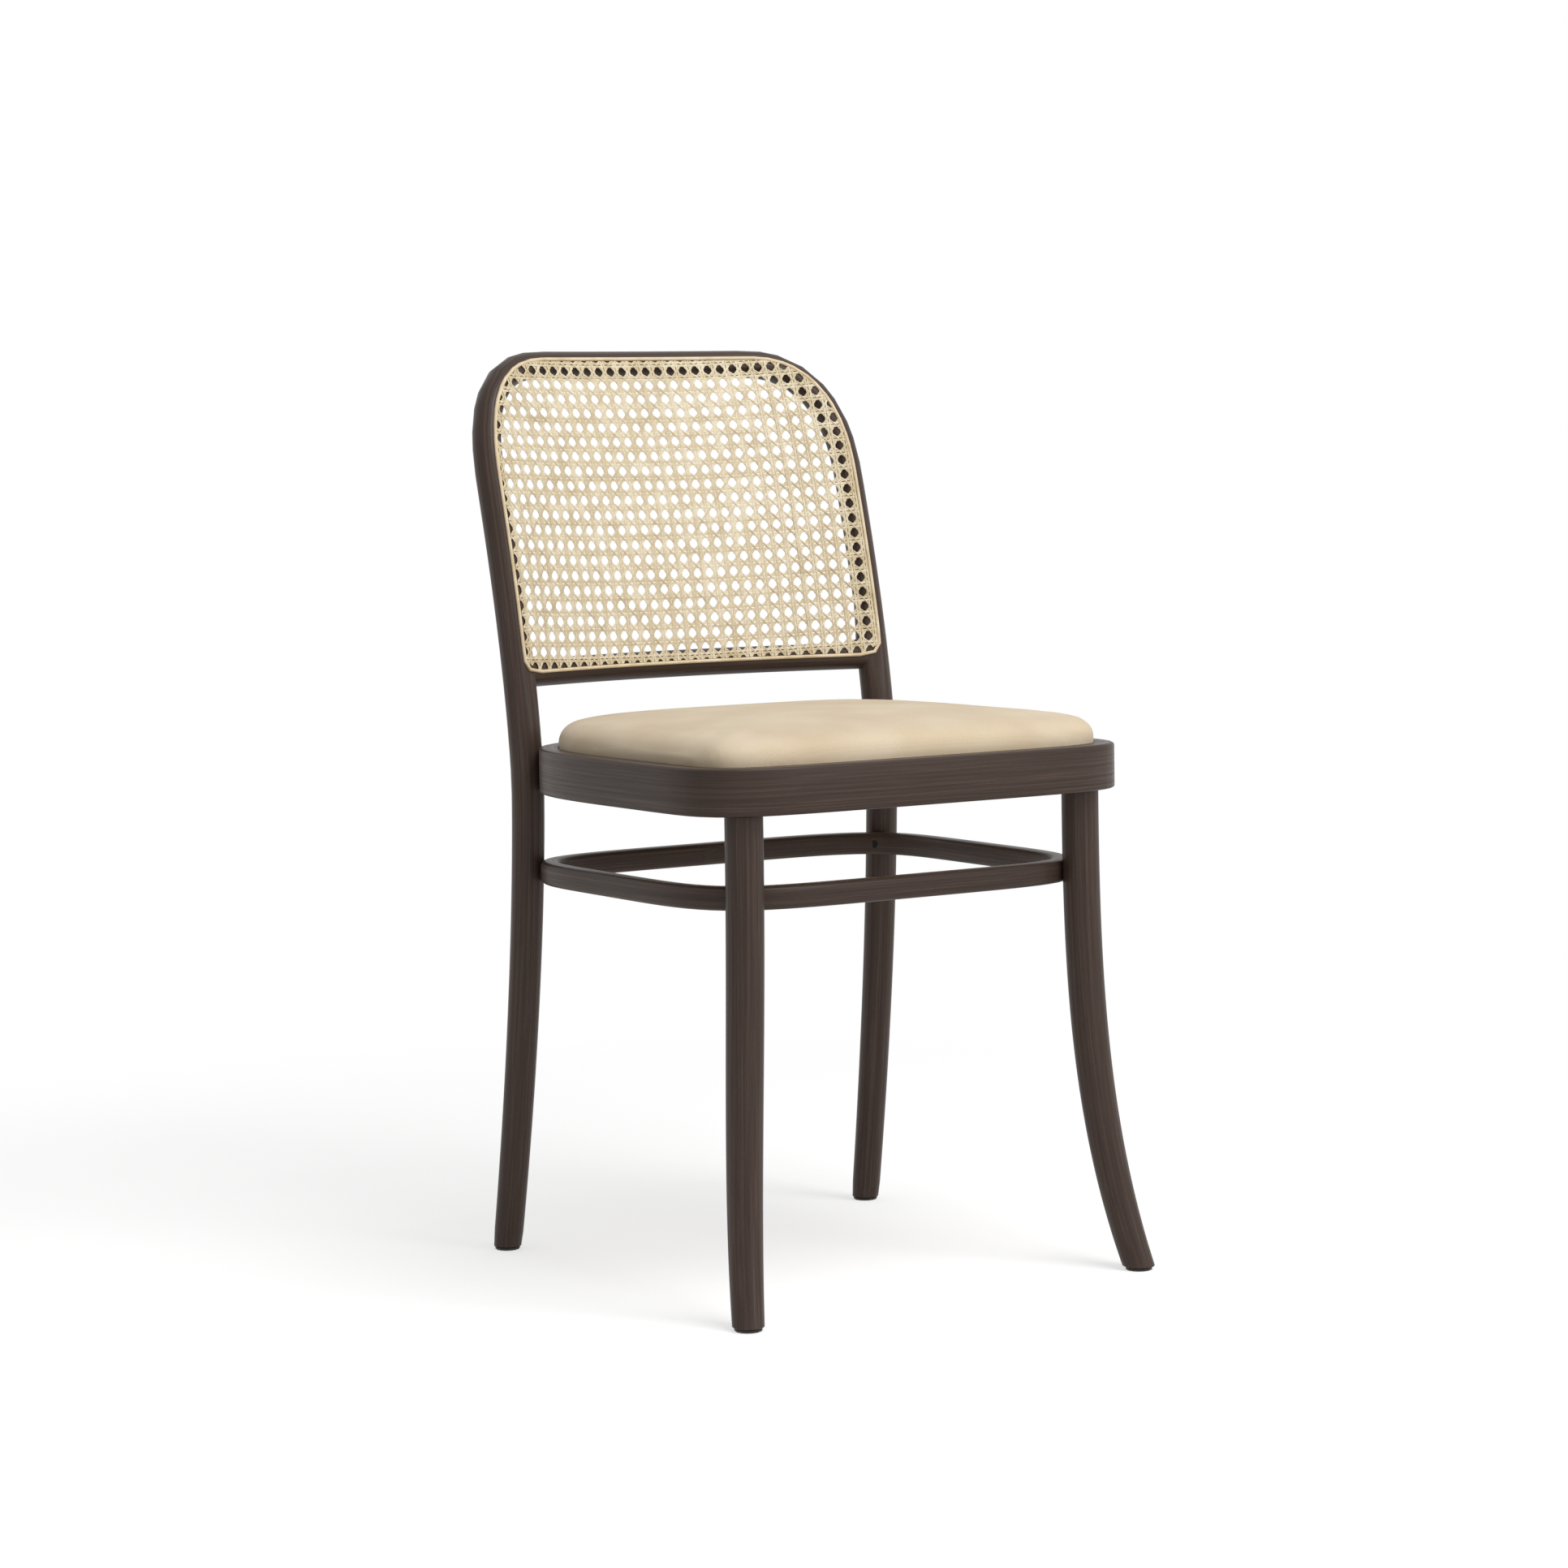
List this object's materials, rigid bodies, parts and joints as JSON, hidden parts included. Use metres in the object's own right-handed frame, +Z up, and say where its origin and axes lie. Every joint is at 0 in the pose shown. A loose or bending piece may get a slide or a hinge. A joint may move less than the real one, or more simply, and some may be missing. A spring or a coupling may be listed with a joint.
{
  "type": "dining chair",
  "caption": "Bentwood dining chair: one bent hoop forms rear legs and back, woven cane back panel, seat ring with upholstered drop-in seat, stretcher ring, splayed front legs.",
  "frame": {"origin": "on the floor, at the middle of the bounding box's underside", "axes": "+Z up, the chair faces -Y, its back is toward +Y, its width lies along X and it is symmetric about X = 0"},
  "size_m": [0.4562, 0.5398, 0.845],
  "materials": {
    "stained_beech": "steam-bent beech, espresso stain under satin lacquer",
    "raw_beech": "unstained beech",
    "birch_plywood": "bare birch plywood",
    "cane": "natural rattan cane, woven",
    "reed": "natural rattan reed",
    "beige_cover": "smooth beige cover stretched over foam",
    "foam": "upholstery foam",
    "zinc_plated_steel": "zinc-plated steel",
    "dark_plastic": "dark moulded plastic"
  },
  "bodies": {
    "root": {"back_hoop": "stained_beech", "back_rail": "stained_beech", "cane_bead": "reed", "cane_panel": "cane", "corner_block_left": "raw_beech", "corner_block_right": "raw_beech", "front_leg_left": "stained_beech", "front_leg_right": "stained_beech", "glide_front_left": "dark_plastic", "glide_front_right": "dark_plastic", "glide_rear_left": "dark_plastic", "glide_rear_right": "dark_plastic", "rail_dowel_left_lower": "raw_beech", "rail_dowel_left_upper": "raw_beech", "rail_dowel_right_lower": "raw_beech", "rail_dowel_right_upper": "raw_beech", "rear_leg_screw_left": "zinc_plated_steel", "rear_leg_screw_right": "zinc_plated_steel", "rear_leg_washer_left": "zinc_plated_steel", "rear_leg_washer_right": "zinc_plated_steel", "seat_board": "birch_plywood", "seat_cover": "beige_cover", "seat_foam": "foam", "seat_ring": "stained_beech", "seat_screw_back": "zinc_plated_steel", "seat_screw_front": "zinc_plated_steel", "seat_screw_left": "zinc_plated_steel", "seat_screw_right": "zinc_plated_steel", "stretcher_ring": "stained_beech", "stretcher_screw_front_left": "zinc_plated_steel", "stretcher_screw_front_right": "zinc_plated_steel", "stretcher_screw_rear_left": "zinc_plated_steel", "stretcher_screw_rear_right": "zinc_plated_steel", "tenon_screw_left": "zinc_plated_steel", "tenon_screw_right": "zinc_plated_steel"}
  },
  "joints": []
}
